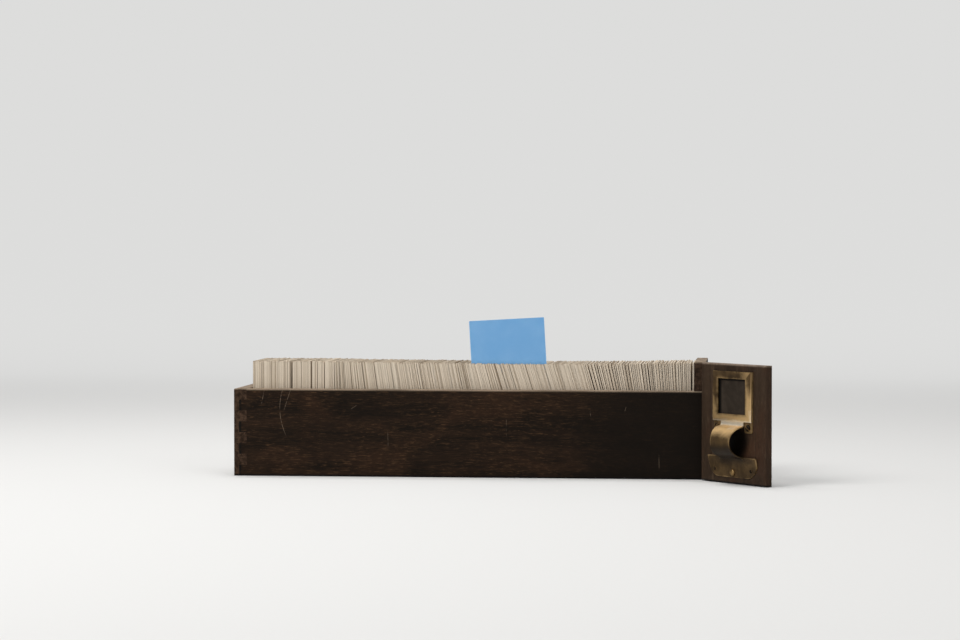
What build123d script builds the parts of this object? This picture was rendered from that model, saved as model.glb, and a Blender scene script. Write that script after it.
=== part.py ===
"""Index card drawer: a long narrow hardwood tray of cards with a hinged front.

X runs from the back of the drawer to its front end, Y away from the side that is seen,
Z up. The origin is the centre of the underside, on the surface that the drawer stands on.
The front panel stands swung open on its two butt hinges. All sizes are in millimetres.
"""

import os
from math import ceil, cos, pi, radians, sin, tan

from build123d import *

# ---------------------------------------------------------------- driving dimensions

# Cards: upright A7 cards, and one blue card of half their height
card_width = 74.0
card_height = 105.0
card_play = 1.0  # on each side of the cards
blue_height = 52.0
blue_thickness = 0.5
blue_turn = 3.2  # degrees that the blue card is tipped in its own plane
blue_centre = 38.2
blue_sunk = 10.0  # how deep it stands among the other cards
blue_set_back = 2.6  # from the near edges of the cards

# Box
box_length = 464.0
side_height = 86.0
side_thickness = 10.5
back_thickness = 12.5
end_thickness = 11.0  # fixed board at the front end
bottom_thickness = 8.0
rabbet = 5.0
worn_edge = 0.9
finger_count = 8
finger_lap = 5.0  # wood left over the tips of the fingers
finger_play = 0.05
brad_size = 1.8  # square, as cut brads are
brad_length = 15.0
brads_per_side = 5

# Front panel
panel_height = 114.0
panel_thickness = 8.0
panel_round = 2.4
floor_gap = 0.5
open_angle = 50.0  # degrees between the line of the side and the opened panel

# Butt hinges
hinge_height = 30.0
hinge_heights = (24.0, 92.0)
leaf_width = 15.0
leaf_thickness = 1.2
leaf_gap = 0.6  # between the two leaves when the front is shut
leaf_play = 0.1
barrel_radius = 2.6
pin_radius = 1.25
pin_play = 0.05
pin_cap = 0.9
knuckle_gap = 0.3
swing_gap = 0.3
leaf_screw_inset = 9.0

# Wood screws: countersunk in the hinges, round-headed in the pull
screw_play = 0.05
hinge_screw_head = 2.3
hinge_screw_shank = 1.1
hinge_screw_length = 6.5
pull_screw_head = 3.2
pull_screw_height = 2.2
pull_screw_shank = 1.4
pull_screw_length = 6.5
screw_slot = 0.9
pull_nail_head = 1.6
pull_nail_height = 0.8
pull_nail_shank = 0.7
dome_share = 0.7  # how much of a screw or nail head's height is sloped off
crown_share = 0.45  # how much of a screw head's radius is sloped off

# Label holder with its stamped pull
sheet = 1.1
holder_width = 57.4
holder_height = 47.6
holder_foot = 60.0  # height of its lower fold on the panel
holder_offset = 2.0  # from the panel's middle towards its free edge
holder_stand = 2.2  # space behind the holder's face
holder_round = 0.5
side_rail = 8.1
end_rail = 7.0
tab_width = 11.5
tab_height = 10.3
tab_corner = 2.0
loop_top_width = 35.5
loop_waist_width = 27.4
loop_foot_width = 34.0
loop_reach = 18.0  # radius of the finger loop
plate_width = 71.5
plate_height = 19.5
plate_corner = 14.5
plate_stand = 2.2  # how far its upper edge stands off the wood
plate_flat = 10.5  # height of its flat lower part
plate_screw_rise = 4.6
plate_nail_rise = 7.0
plate_nail_inset = 9.0
label_thickness = 0.6
label_play = 0.4

# Row of cards
pack_thickness = 1.55
pack_pattern = (1.0, 0.62, 1.38, 0.8, 1.12, 0.7, 1.3)  # how the packs of cards differ
pack_gap = 0.06
back_space = 4.4  # free space between the back board and the first card
# Places along the row, as shares of the box length, and the lean of the cards there
lean_stations = ((-0.3, 0.0), (-0.24, 7.0), (-0.02, 12.0), (0.06, 17.0), (0.24, 16.0), (0.46, 1.0))
row_sag = 1.6
ragged = 0.3  # how far the card tops differ
card_sections = 10  # groups that the row is made in
packs_between_gaps = 24
wide_gap = 0.5
seat_gap = 0.3
slit_play = 0.25

# ---------------------------------------------------------------- sizes that follow

inner_width = card_width + 2 * card_play
box_width = inner_width + 2 * side_thickness
half_length = box_length / 2
half_width = box_width / 2
back_face = -half_length + back_thickness
end_face = half_length - end_thickness
finger_height = side_height / finger_count
back_finger = back_thickness - finger_lap
finger_levels = [finger_height * (2 * k + 0.5) for k in range(finger_count // 2)]
panel_width = box_width

# The hinge axis stands just outside the near front corner, midway between the leaves.
edge_offset = barrel_radius + swing_gap
axis_x = half_length + leaf_gap / 2
axis_y = -half_width - edge_offset
opened = radians(open_angle)
along = Vector(cos(opened), -sin(opened), 0)  # from the hinge edge to the free edge
outward = Vector(-sin(opened), -cos(opened), 0)  # out of the panel's outer face
hinge_foot = Vector(axis_x, axis_y, 0)

# On the panel local X runs from its hinge edge, local Y up and local Z outward.
panel_back = Plane(
    origin=hinge_foot + along * edge_offset + outward * (leaf_gap / 2),
    x_dir=along,
    z_dir=outward,
)
panel_face = panel_back.offset(panel_thickness)
holder_centre = panel_width / 2 + holder_offset
# Seen along the panel: local X outward and local Y up, through the middle of the pull.
pull_side = Plane(
    origin=panel_face.origin + along * holder_centre, x_dir=outward, z_dir=along * -1
)


def export(part, label):
    """Names one finished piece and writes it."""
    part.label = label
    export_step(part, f"parts/{label}.step")


os.makedirs("parts", exist_ok=True)

# ---------------------------------------------------------------- bottom board

bottom_length = end_face - back_face
bottom_middle = (end_face + back_face) / 2
side_length = half_length - back_face
side_middle = (half_length + back_face) / 2
brad_step = bottom_length / brads_per_side
brad_places = [
    (back_face + (k + 0.5) * brad_step, side * (inner_width + rabbet) / 2)
    for k in range(brads_per_side)
    for side in (-1, 1)
]

with BuildPart() as bottom_board:
    with BuildSketch():
        with Locations((bottom_middle, 0)):
            Rectangle(bottom_length, inner_width + 2 * rabbet - 2 * finger_play)
    extrude(amount=bottom_thickness)
    with BuildSketch():
        with Locations(*brad_places):
            Rectangle(brad_size + 2 * screw_play, brad_size + 2 * screw_play)
    extrude(amount=bottom_thickness, mode=Mode.SUBTRACT)
export(bottom_board.part, "bottom_board")

with BuildPart() as bottom_brads:
    with BuildSketch(Plane.XY.offset(seat_gap)):
        with Locations(*brad_places):
            Rectangle(brad_size, brad_size)
    extrude(amount=brad_length)
export(bottom_brads.part, "bottom_brads")

# ---------------------------------------------------------------- sides and ends

side_finger = finger_height - 2 * finger_play

with BuildPart() as near_side:
    with BuildSketch(Plane.XZ.offset(half_width)):
        with Locations((side_middle, side_height / 2)):
            Rectangle(side_length, side_height)
        with Locations(*[(back_face, level) for level in finger_levels]):
            Rectangle(back_finger, side_finger, align=(Align.MAX, Align.CENTER))
    extrude(amount=-side_thickness)
    fillet(near_side.edges().filter_by(Axis.X).group_by(Axis.Z)[-1], radius=worn_edge)
    # Rabbet along the lower inner edge, where the bottom board is nailed
    with BuildSketch():
        with Locations((bottom_middle, -inner_width / 2)):
            Rectangle(bottom_length, 2 * rabbet)
    extrude(amount=bottom_thickness + finger_play, mode=Mode.SUBTRACT)
    with BuildSketch():
        with Locations(*[place for place in brad_places if place[1] < 0]):
            Rectangle(brad_size + 2 * screw_play, brad_size + 2 * screw_play)
    extrude(amount=brad_length + 2 * seat_gap, mode=Mode.SUBTRACT)
    # Rabbet up its front end, which laps over the fixed end board
    with BuildSketch():
        with Locations((half_length, -inner_width / 2)):
            Rectangle(2 * (end_thickness + finger_play), 2 * rabbet)
    extrude(amount=side_height, mode=Mode.SUBTRACT)

with BuildPart() as far_side:
    mirror(near_side.part, about=Plane.XZ)
export(far_side.part, "far_side")


def round_top(board):
    """Wears the long upper edges of an end board."""
    fillet(board.edges().filter_by(Axis.Y).group_by(Axis.Z)[-1], radius=worn_edge)


with BuildPart() as back_board:
    with BuildSketch():
        with Locations((-half_length, 0)):
            Rectangle(back_thickness, box_width, align=(Align.MIN, Align.CENTER))
    extrude(amount=side_height)
    round_top(back_board)
    # Slots for the fingers of both sides
    for face_y, inward in ((-half_width, -1), (half_width, 1)):
        with BuildSketch(Plane.XZ.offset(-face_y)) as slots:
            with Locations(*[(back_face, level) for level in finger_levels]):
                Rectangle(2 * back_finger + 2 * finger_play, finger_height)
        extrude(slots.sketch, amount=inward * side_thickness, mode=Mode.SUBTRACT)
export(back_board.part, "back_board")

box_hinge_face = Plane(
    origin=(half_length, -half_width, 0), x_dir=(0, 1, 0), z_dir=(1, 0, 0)
)
panel_hinge_face = Plane(origin=panel_back.origin, x_dir=along * -1, z_dir=outward * -1)


def hinge_screw_spots(inward, heights):
    """Screw places on a hinge face, whose leaves run to local X times inward."""
    return [
        (inward * leaf_screw_inset, height + step)
        for height in heights
        for step in (-hinge_height / 3, hinge_height / 3)
    ]


def hinge_mortises(face, inward):
    """Cuts the shallow seats and the screw holes of both hinges into the board being built."""
    with BuildSketch(face) as seats:
        with Locations(*[(inward * leaf_width / 2, height) for height in hinge_heights]):
            Rectangle(leaf_width + 2 * leaf_play, hinge_height + 2 * leaf_play)
    extrude(seats.sketch, amount=-leaf_thickness, mode=Mode.SUBTRACT)
    with BuildSketch(face) as holes:
        with Locations(*hinge_screw_spots(inward, hinge_heights)):
            Circle(hinge_screw_shank + screw_play)
    extrude(holes.sketch, amount=-hinge_screw_length - seat_gap, mode=Mode.SUBTRACT)


with BuildPart() as hinged_side:
    add(near_side.part)
    hinge_mortises(box_hinge_face, 1)
export(hinged_side.part, "near_side")

with BuildPart() as inner_front_board:
    with BuildSketch():
        with Locations((half_length, 0)):
            Rectangle(end_thickness, box_width, align=(Align.MAX, Align.CENTER))
    extrude(amount=panel_height + floor_gap)
    round_top(inner_front_board)
    # Below its shoulders it is let into the rabbets of the sides
    with BuildSketch():
        for side in (-1, 1):
            with Locations((end_face, side * half_width)):
                Rectangle(2 * end_thickness, 2 * (side_thickness - rabbet + finger_play))
    extrude(amount=side_height, mode=Mode.SUBTRACT)
    hinge_mortises(box_hinge_face, 1)
export(inner_front_board.part, "inner_front_board")

# ---------------------------------------------------------------- front panel

loop_middle = holder_foot + sheet - loop_reach
plate_top = loop_middle - loop_reach + sheet
plate_foot = plate_top - plate_height
tab_spots = [
    (holder_centre + side * (holder_width - tab_width) / 2, holder_foot - tab_height / 2)
    for side in (-1, 1)
]
plate_screw_spot = (holder_centre, plate_foot + plate_screw_rise)
plate_nail_spots = [
    (holder_centre + side * (plate_width / 2 - plate_nail_inset), plate_foot + plate_nail_rise)
    for side in (-1, 1)
]
out_axis = Axis((0, 0, 0), outward)

with BuildPart() as front_panel:
    with BuildSketch(panel_back):
        with Locations((0, floor_gap)):
            Rectangle(panel_width, panel_height, align=(Align.MIN, Align.MIN))
    extrude(amount=panel_thickness)
    fillet(front_panel.faces().sort_by(out_axis)[-1].edges(), radius=panel_round)
    hinge_mortises(panel_hinge_face, -1)
    with BuildSketch(panel_face):
        with Locations(*tab_spots, plate_screw_spot):
            Circle(pull_screw_shank + screw_play)
        with Locations(*plate_nail_spots):
            Circle(pull_nail_shank + screw_play)
    extrude(amount=-pull_screw_length - seat_gap, mode=Mode.SUBTRACT)
export(front_panel.part, "front_panel")

# ---------------------------------------------------------------- hinges

knuckle_height = (hinge_height - 2 * knuckle_gap) / 3


def hinge_leaf(face, inward, height, steps):
    """One leaf with knuckles at these steps from its middle, countersunk for two screws."""
    middles = [height + step * (knuckle_height + knuckle_gap) for step in steps]
    with BuildPart() as leaf:
        with BuildSketch(face):
            with Locations((inward * leaf_width / 2, height)):
                Rectangle(leaf_width, hinge_height)
            with Locations(*[(-inward * edge_offset / 2, middle) for middle in middles]):
                Rectangle(edge_offset, knuckle_height)
        extrude(amount=-leaf_thickness)
        for middle in middles:
            with BuildSketch(Plane.XY.offset(middle)):
                with Locations((axis_x, axis_y)):
                    Circle(barrel_radius)
            extrude(amount=knuckle_height / 2, both=True)
        with BuildSketch(Plane.XY.offset(height)):
            with Locations((axis_x, axis_y)):
                Circle(pin_radius + pin_play)
        extrude(amount=hinge_height, both=True, mode=Mode.SUBTRACT)
        with Locations(face.location):
            with Locations(*hinge_screw_spots(inward, [height])):
                CounterSinkHole(
                    hinge_screw_shank + screw_play,
                    hinge_screw_head + screw_play,
                    depth=2 * leaf_thickness,
                    counter_sink_angle=90,
                )
    return leaf.part


for name, height in zip(("lower", "upper"), hinge_heights):
    export(hinge_leaf(box_hinge_face, 1, height, (-1, 1)), f"{name}_hinge_box_leaf")
    export(hinge_leaf(panel_hinge_face, -1, height, (0,)), f"{name}_hinge_panel_leaf")
    with BuildPart() as hinge_pin:
        with BuildSketch(Plane.XY.offset(height)):
            with Locations((axis_x, axis_y)):
                Circle(pin_radius)
        extrude(amount=hinge_height / 2 + pin_play, both=True)
        for end in (-1, 1):
            with BuildSketch(Plane.XY.offset(height + end * (hinge_height / 2 + pin_play))):
                with Locations((axis_x, axis_y)):
                    Circle(barrel_radius - pin_play)
            extrude(amount=end * pin_cap)
        rims = hinge_pin.edges().filter_by(GeomType.CIRCLE).group_by(Axis.Z)
        chamfer(rims[0] + rims[-1], length=pin_cap / 2)
    export(hinge_pin.part, f"{name}_hinge_pin")

from_top = (Align.CENTER, Align.CENTER, Align.MAX)
from_foot = (Align.CENTER, Align.CENTER, Align.MIN)

with BuildPart() as hinge_screw:
    Cone(
        hinge_screw_shank,
        hinge_screw_head,
        hinge_screw_head - hinge_screw_shank,
        align=from_top,
    )
    Cylinder(hinge_screw_shank, hinge_screw_length, align=from_top)

for name, face, inward in (("box", box_hinge_face, 1), ("panel", panel_hinge_face, -1)):
    with BuildPart() as hinge_screws:
        with Locations(face.location):
            with Locations(*hinge_screw_spots(inward, hinge_heights)):
                add(hinge_screw.part)
    export(hinge_screws.part, f"hinge_screws_{name}")

# ---------------------------------------------------------------- label holder and pull

holder_middle = holder_foot + holder_height / 2

with BuildPart() as label_holder:
    # The window frame, raised off the wood
    with BuildSketch(panel_face.offset(holder_stand)):
        with Locations((holder_centre, holder_middle)):
            Rectangle(holder_width, holder_height)
    extrude(amount=sheet)
    fillet(label_holder.faces().sort_by(out_axis)[-1].edges(), radius=holder_round)
    with BuildSketch(panel_face):
        with Locations((holder_centre, holder_middle)):
            Rectangle(holder_width - 2 * side_rail, holder_height - 2 * end_rail)
    extrude(amount=holder_stand + 2 * sheet, mode=Mode.SUBTRACT)
    # Its sides and foot are folded back to the wood; the top is open for the label
    with BuildSketch(panel_face):
        for side in (-1, 1):
            with Locations((holder_centre + side * (holder_width - sheet) / 2, holder_middle)):
                Rectangle(sheet, holder_height)
        with Locations((holder_centre, holder_foot + sheet / 2)):
            Rectangle(holder_width, sheet)
    extrude(amount=holder_stand + sheet / 2)
    # Two screw tabs under the holder
    with BuildSketch(panel_face):
        with Locations(*[(x, height + sheet / 2) for x, height in tab_spots]):
            RectangleRounded(tab_width, tab_height + sheet, tab_corner)
        with Locations(*tab_spots):
            Circle(pull_screw_shank + screw_play, mode=Mode.SUBTRACT)
    extrude(amount=sheet)
    # The lower plate: flat on the wood at its foot, its upper edge dished forward
    with BuildSketch(pull_side):
        Polygon(
            (0, plate_foot),
            (0, plate_foot + plate_flat),
            (plate_stand, plate_top),
            (plate_stand + sheet, plate_top),
            (sheet, plate_foot + plate_flat),
            (sheet, plate_foot),
            align=None,
        )
    extrude(amount=plate_width / 2, both=True)
    with BuildSketch(panel_face):
        for side in (-1, 1):
            corner_x = holder_centre + side * plate_width / 2
            with Locations((corner_x, plate_foot)):
                Rectangle(2 * plate_corner, 2 * plate_corner)
            with Locations((corner_x - side * plate_corner, plate_foot + plate_corner)):
                Circle(plate_corner, mode=Mode.SUBTRACT)
        with Locations(plate_screw_spot):
            Circle(pull_screw_shank + screw_play)
        with Locations(*plate_nail_spots):
            Circle(pull_nail_shank + screw_play)
    extrude(amount=holder_stand, mode=Mode.SUBTRACT)

# The finger loop: a half round of the same sheet, narrowed at its waist
with BuildPart() as finger_loop:
    with BuildSketch(pull_side):
        with Locations((holder_stand, loop_middle)):
            Circle(loop_reach)
            Circle(loop_reach - sheet, mode=Mode.SUBTRACT)
        with Locations((holder_stand, loop_middle)):
            Rectangle(
                2 * loop_reach, 2 * loop_reach, align=(Align.MAX, Align.CENTER), mode=Mode.SUBTRACT
            )
    extrude(amount=loop_top_width, both=True)
    with BuildSketch(panel_face):
        with BuildLine():
            for side in (-1, 1):
                ThreePointArc(
                    (holder_centre + side * loop_top_width / 2, loop_middle + loop_reach),
                    (holder_centre + side * loop_waist_width / 2, loop_middle),
                    (holder_centre + side * loop_foot_width / 2, loop_middle - loop_reach),
                )
            for rise, width in ((loop_reach, loop_top_width), (-loop_reach, loop_foot_width)):
                Line(
                    (holder_centre - width / 2, loop_middle + rise),
                    (holder_centre + width / 2, loop_middle + rise),
                )
        make_face()
    extrude(amount=holder_stand + 2 * loop_reach, mode=Mode.INTERSECT)

with BuildPart() as label_holder_pull:
    add(label_holder.part)
    add(finger_loop.part)
export(label_holder_pull.part, "label_holder_pull")

# ---------------------------------------------------------------- fasteners of the pull


def slotted_screw(head, height, shank, length):
    """A round-headed wood screw with its head's flat underside on the XY plane."""
    with BuildPart() as screw:
        Cylinder(head, height, align=from_foot)
        rim = screw.edges().group_by(Axis.Z)[-1]
        chamfer(rim, length=height * dome_share, length2=head * crown_share)
        with Locations((0, 0, height)):
            Box(2 * head, screw_slot, screw_slot, align=from_top, mode=Mode.SUBTRACT)
        Cylinder(shank, length, align=from_top)
    return screw.part


with BuildPart() as pull_screws:
    with Locations(panel_face.offset(sheet).location):
        with Locations(*tab_spots, plate_screw_spot):
            add(
                slotted_screw(
                    pull_screw_head, pull_screw_height, pull_screw_shank, pull_screw_length
                )
            )
export(pull_screws.part, "pull_screws")

with BuildPart() as nail:
    Cylinder(pull_nail_head, pull_nail_height, align=from_foot)
    chamfer(nail.edges().group_by(Axis.Z)[-1], length=pull_nail_height * dome_share)
    Cylinder(pull_nail_shank, pull_screw_length, align=from_top)

with BuildPart() as pull_nails:
    with Locations(panel_face.offset(sheet).location):
        with Locations(*plate_nail_spots):
            add(nail.part)
export(pull_nails.part, "pull_nails")

label_width = holder_width - 2 * sheet - 2 * label_play
label_foot = holder_foot + sheet + seat_gap

with BuildPart() as label_card:
    with BuildSketch(panel_face.offset(seat_gap)):
        with Locations((holder_centre, label_foot)):
            Rectangle(
                label_width,
                holder_foot + holder_height - label_foot,
                align=(Align.CENTER, Align.MIN),
            )
    extrude(amount=label_thickness)
export(label_card.part, "label_card")

# ---------------------------------------------------------------- the row of cards


def lean_at(x):
    """The lean of the cards in radians where their tops are at this place in the row."""
    share = x / box_length
    for (start, low), (end, high) in zip(lean_stations, lean_stations[1:]):
        if share <= start:
            return radians(low)
        if share <= end:
            return radians(low + (high - low) * (share - start) / (end - start))
    return radians(lean_stations[-1][1])


def row_of_packs():
    """Works out each pack's foot, thickness, length and lean, from the back to the front."""
    packs = []
    foot = back_face + back_space
    lean = 0.0
    k = 0
    while True:
        thickness = pack_thickness * pack_pattern[k * k % len(pack_pattern)]
        if packs and k % packs_between_gaps == 0:
            foot += wide_gap
        top = foot - card_height * tan(lean)
        next_lean = lean_at(top)
        if packs:
            foot += card_height * max(0, tan(next_lean) - tan(lean))
        lean = next_lean
        if foot + thickness / cos(lean) > end_face - seat_gap:
            return packs
        sag = row_sag * sin(lean) / sin(radians(max(low for _, low in lean_stations)))
        uneven = ragged * sin(k * k)
        length = (card_height - sag + uneven - thickness * sin(lean)) / cos(lean)
        packs.append((foot, thickness, length, lean))
        foot += thickness / cos(lean) + pack_gap
        k += 1


slit_y = -card_width / 2 + blue_set_back
blue_rise = bottom_thickness + card_height + blue_height - blue_sunk
blue_middle = (blue_centre, blue_rise - blue_height / 2)
blue_tip = radians(blue_turn)
blue_half_span = (card_width * cos(blue_tip) + blue_height * sin(blue_tip)) / 2
blue_foot = blue_rise - blue_height * cos(blue_tip) - card_width / 2 * sin(blue_tip)
# The cards under the blue card are slit lengthwise to hold it.
slit = Pos(blue_centre, slit_y, blue_foot - seat_gap) * Box(
    2 * blue_half_span + 2 * slit_play,
    blue_thickness + 2 * slit_play,
    card_height,
    align=from_foot,
)

packs = row_of_packs()
section_size = ceil(len(packs) / card_sections)
for number, first in enumerate(range(0, len(packs), section_size)):
    section = packs[first : first + section_size]
    with BuildPart() as cards:
        with BuildSketch(Plane.XZ):
            for foot, thickness, length, lean in section:
                with Locations((foot, bottom_thickness)):
                    Rectangle(
                        thickness,
                        length,
                        rotation=lean * 180 / pi,
                        align=(Align.MIN, Align.MIN),
                    )
        extrude(amount=card_width / 2, both=True)
        add(slit, mode=Mode.SUBTRACT)
    export(cards.part, f"index_cards_{number + 1:02d}")

with BuildPart() as blue_card:
    with BuildSketch(Plane.XZ.offset(-slit_y)):
        with Locations(blue_middle):
            Rectangle(card_width, blue_height, rotation=blue_turn)
    extrude(amount=blue_thickness / 2, both=True)
export(blue_card.part, "blue_card")
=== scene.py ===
"""Index card drawer with its front swung open, dressed for the picture.

The boards keep their modelled shapes and get their wood, stain, wear and painted shadows here. The
row of cards, the stamped label holder with its pull, the screws, the nails and the blue card are
built here in full detail, in the same places as the solids that they stand for.
Lengths in the classes are in millimetres, apart from the lamps, the floor and its sweep,
which are in metres. Every finished mesh is in metres.
"""

import logging
import random
from dataclasses import dataclass
from enum import Enum
from math import ceil, cos, pi, radians, sin, tan

import bmesh
import bpy
from mathutils import Matrix, Vector


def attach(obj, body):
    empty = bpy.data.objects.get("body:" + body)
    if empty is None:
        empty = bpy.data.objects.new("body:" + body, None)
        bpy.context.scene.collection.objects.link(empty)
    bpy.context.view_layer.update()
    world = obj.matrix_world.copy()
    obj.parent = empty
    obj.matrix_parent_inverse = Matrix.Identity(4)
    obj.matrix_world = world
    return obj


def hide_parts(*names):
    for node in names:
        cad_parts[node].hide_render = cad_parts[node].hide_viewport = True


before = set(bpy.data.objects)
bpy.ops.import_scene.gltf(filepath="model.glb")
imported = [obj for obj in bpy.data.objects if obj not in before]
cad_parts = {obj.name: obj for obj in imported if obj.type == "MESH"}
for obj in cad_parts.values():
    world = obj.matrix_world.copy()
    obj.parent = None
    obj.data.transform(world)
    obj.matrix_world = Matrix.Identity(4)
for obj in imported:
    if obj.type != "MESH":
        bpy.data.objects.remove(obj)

Colour = tuple[float, float, float]
Point = tuple[float, float, float]
Socket = bpy.types.NodeSocket

log = logging.getLogger("drawer")
# One millimetre in metres, how near in millimetres two levels are the same, and no stretch.
MM = 0.001
NEAR = 0.001
EVEN: Point = (1.0, 1.0, 1.0)


def tint(red: int, green: int, blue: int) -> Colour:
    """Turns a colour as it is seen on a screen into the linear one that shaders use.

    Args:
        red: Red, 0 to 255.
        green: Green, 0 to 255.
        blue: Blue, 0 to 255.

    Returns:
        The linear colour.
    """
    def straight(value: int) -> float:
        """Undoes the screen's curve for one channel."""
        share = value / 255
        return share / 12.92 if share <= 0.04045 else ((share + 0.055) / 1.055) ** 2.4

    return (straight(red), straight(green), straight(blue))


# ---------------------------------------------------------------- shader benches


class Bench:
    """Lays out and joins the shader nodes of one finish."""

    def __init__(self, name: str, turn: float = 0.0, pivot: Point = (0.0, 0.0, 0.0)) -> None:
        """Starts a finish whose patterns follow the piece.

        Args:
            name: The material's name.
            turn: Degrees about the upright axis that the pattern's frame is turned.
            pivot: The pattern frame's origin in millimetres.
        """
        self.material = bpy.data.materials.new(name)
        self.material.use_nodes = True
        self.tree = self.material.node_tree
        self.tree.nodes.clear()
        self.output = self.tree.nodes.new("ShaderNodeOutputMaterial")
        self.shader = self.tree.nodes.new("ShaderNodeBsdfPrincipled")
        self.join(self.shader.outputs["BSDF"], self.output.inputs["Surface"])
        self.coordinates = self.tree.nodes.new("ShaderNodeTexCoord")
        mapping = self.tree.nodes.new("ShaderNodeMapping")
        mapping.vector_type = "TEXTURE"
        mapping.inputs["Location"].default_value = [value * MM for value in pivot]
        mapping.inputs["Rotation"].default_value = (0.0, 0.0, radians(turn))
        self.join(self.coordinates.outputs["Object"], mapping.inputs["Vector"])
        self.place = mapping.outputs["Vector"]
        split = self.tree.nodes.new("ShaderNodeSeparateXYZ")
        self.join(self.place, split.inputs[0])
        self.x, self.y, self.z = split.outputs

    def join(self, source: Socket, target: Socket) -> None:
        """Links one socket to another."""
        self.tree.links.new(source, target)

    def feed(self, target: Socket, value: object) -> None:
        """Sets a socket from another socket, a number or a colour.

        Args:
            target: The socket to set.
            value: Where it gets its value.
        """
        if isinstance(value, bpy.types.NodeSocket):
            self.join(value, target)
        elif isinstance(value, tuple) and target.type == "RGBA":
            target.default_value = (*value, 1.0)
        else:
            target.default_value = value

    def stretched(self, along: Point) -> Socket:
        """The pattern's coordinates, scaled on each axis.

        Args:
            along: The scale on each axis. A small one draws a pattern out.

        Returns:
            The scaled coordinates.
        """
        mapping = self.tree.nodes.new("ShaderNodeMapping")
        mapping.inputs["Scale"].default_value = along
        self.join(self.place, mapping.inputs["Vector"])
        return mapping.outputs["Vector"]

    def noise(
        self,
        scale: float,
        along: Point = EVEN,
        detail: float = 3.0,
        rough: float = 0.5,
        warp: float = 0.0,
        seed: float = 0.0,
    ) -> Socket:
        """A cloudy pattern.

        Args:
            scale: How many features there are to the metre.
            along: Scale on each axis.
            detail: Octaves.
            rough: How strong the fine octaves are.
            warp: How far the pattern is pulled about.
            seed: Picks another pattern.

        Returns:
            The pattern's value, about 0 to 1.
        """
        node = self.tree.nodes.new("ShaderNodeTexNoise")
        node.noise_dimensions = "4D"
        self.join(self.stretched(along), node.inputs["Vector"])
        for name, value in (
            ("W", seed),
            ("Scale", scale),
            ("Detail", detail),
            ("Roughness", rough),
            ("Distortion", warp),
        ):
            node.inputs[name].default_value = value
        return node.outputs["Fac"]

    def step(self, value: Socket, low: float, high: float, top: float = 1.0) -> Socket:
        """Rises smoothly from 0 at low to top at high, also where low is the greater.

        Args:
            value: What is measured.
            low: Where the rise starts.
            high: Where the rise ends.
            top: The value reached.

        Returns:
            The risen value.
        """
        node = self.tree.nodes.new("ShaderNodeMapRange")
        node.interpolation_type = "SMOOTHSTEP"
        self.join(value, node.inputs["Value"])
        if low <= high:
            limits = (low, high, 0.0, top)
        else:
            limits = (high, low, top, 0.0)
        names = ("From Min", "From Max", "To Min", "To Max")
        for name, limit in zip(names, limits):
            node.inputs[name].default_value = limit
        return node.outputs["Result"]

    def sum(self, operation: str, first: object, second: object = 0.0) -> Socket:
        """One step of arithmetic.

        Args:
            operation: The name of the operation.
            first: A socket or number.
            second: A socket or number.

        Returns:
            The result.
        """
        node = self.tree.nodes.new("ShaderNodeMath")
        node.operation = operation
        self.feed(node.inputs[0], first)
        self.feed(node.inputs[1], second)
        return node.outputs[0]

    def product(self, *factors: object) -> Socket:
        """Multiplies sockets and numbers."""
        result = factors[0]
        for factor in factors[1:]:
            result = self.sum("MULTIPLY", result, factor)
        return result

    def mix(self, share: object, first: object, second: object, blend: str = "MIX") -> Socket:
        """Blends two colours.

        Args:
            share: How much of the second there is.
            first: A socket or colour.
            second: A socket or colour.
            blend: The way of blending.

        Returns:
            The blended colour.
        """
        node = self.tree.nodes.new("ShaderNodeMix")
        node.data_type = "RGBA"
        node.blend_type = blend
        self.feed(node.inputs[0], share)
        self.feed(node.inputs[6], first)
        self.feed(node.inputs[7], second)
        return node.outputs[2]

    def attribute(self, name: str) -> Socket:
        """The value of one of the mesh's own attributes."""
        node = self.tree.nodes.new("ShaderNodeAttribute")
        node.attribute_name = name
        return node.outputs["Fac"]

    def facing(self, axis: str) -> Socket:
        """How squarely the surface faces along an axis of the piece, from 0 to 1."""
        split = self.tree.nodes.new("ShaderNodeSeparateXYZ")
        self.join(self.coordinates.outputs["Normal"], split.inputs[0])
        return self.sum("ABSOLUTE", split.outputs[axis])

    def bump(self, height: Socket, strength: float, depth: float) -> None:
        """Adds relief to the surface, over any that is there.

        Args:
            height: The pattern.
            strength: How strongly it shows.
            depth: Its height in millimetres.
        """
        node = self.tree.nodes.new("ShaderNodeBump")
        node.inputs["Strength"].default_value = strength
        node.inputs["Distance"].default_value = depth * MM
        self.join(height, node.inputs["Height"])
        last = self.shader.inputs["Normal"]
        if last.is_linked:
            self.join(last.links[0].from_socket, node.inputs["Normal"])
        self.join(node.outputs["Normal"], last)

    def finish(self, **values: object) -> bpy.types.Material:
        """Sets the shader's sockets and hands over the material.

        Args:
            values: Socket names with _ for spaces, and their values.

        Returns:
            The material.
        """
        for name, value in values.items():
            self.feed(self.shader.inputs[name.replace("_", " ")], value)
        return self.material


class Grain(Enum):
    """The axis of a board that its grain runs along."""

    LENGTHWISE = "X"
    ACROSS = "Y"
    UPRIGHT = "Z"

    def drawn_out(self, share: float) -> Point:
        """Scales that draw a pattern out along the grain.

        Args:
            share: The scale along the grain.

        Returns:
            The scale on each axis.
        """
        return tuple(share if axis == self.value else 1.0 for axis in "XYZ")


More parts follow.
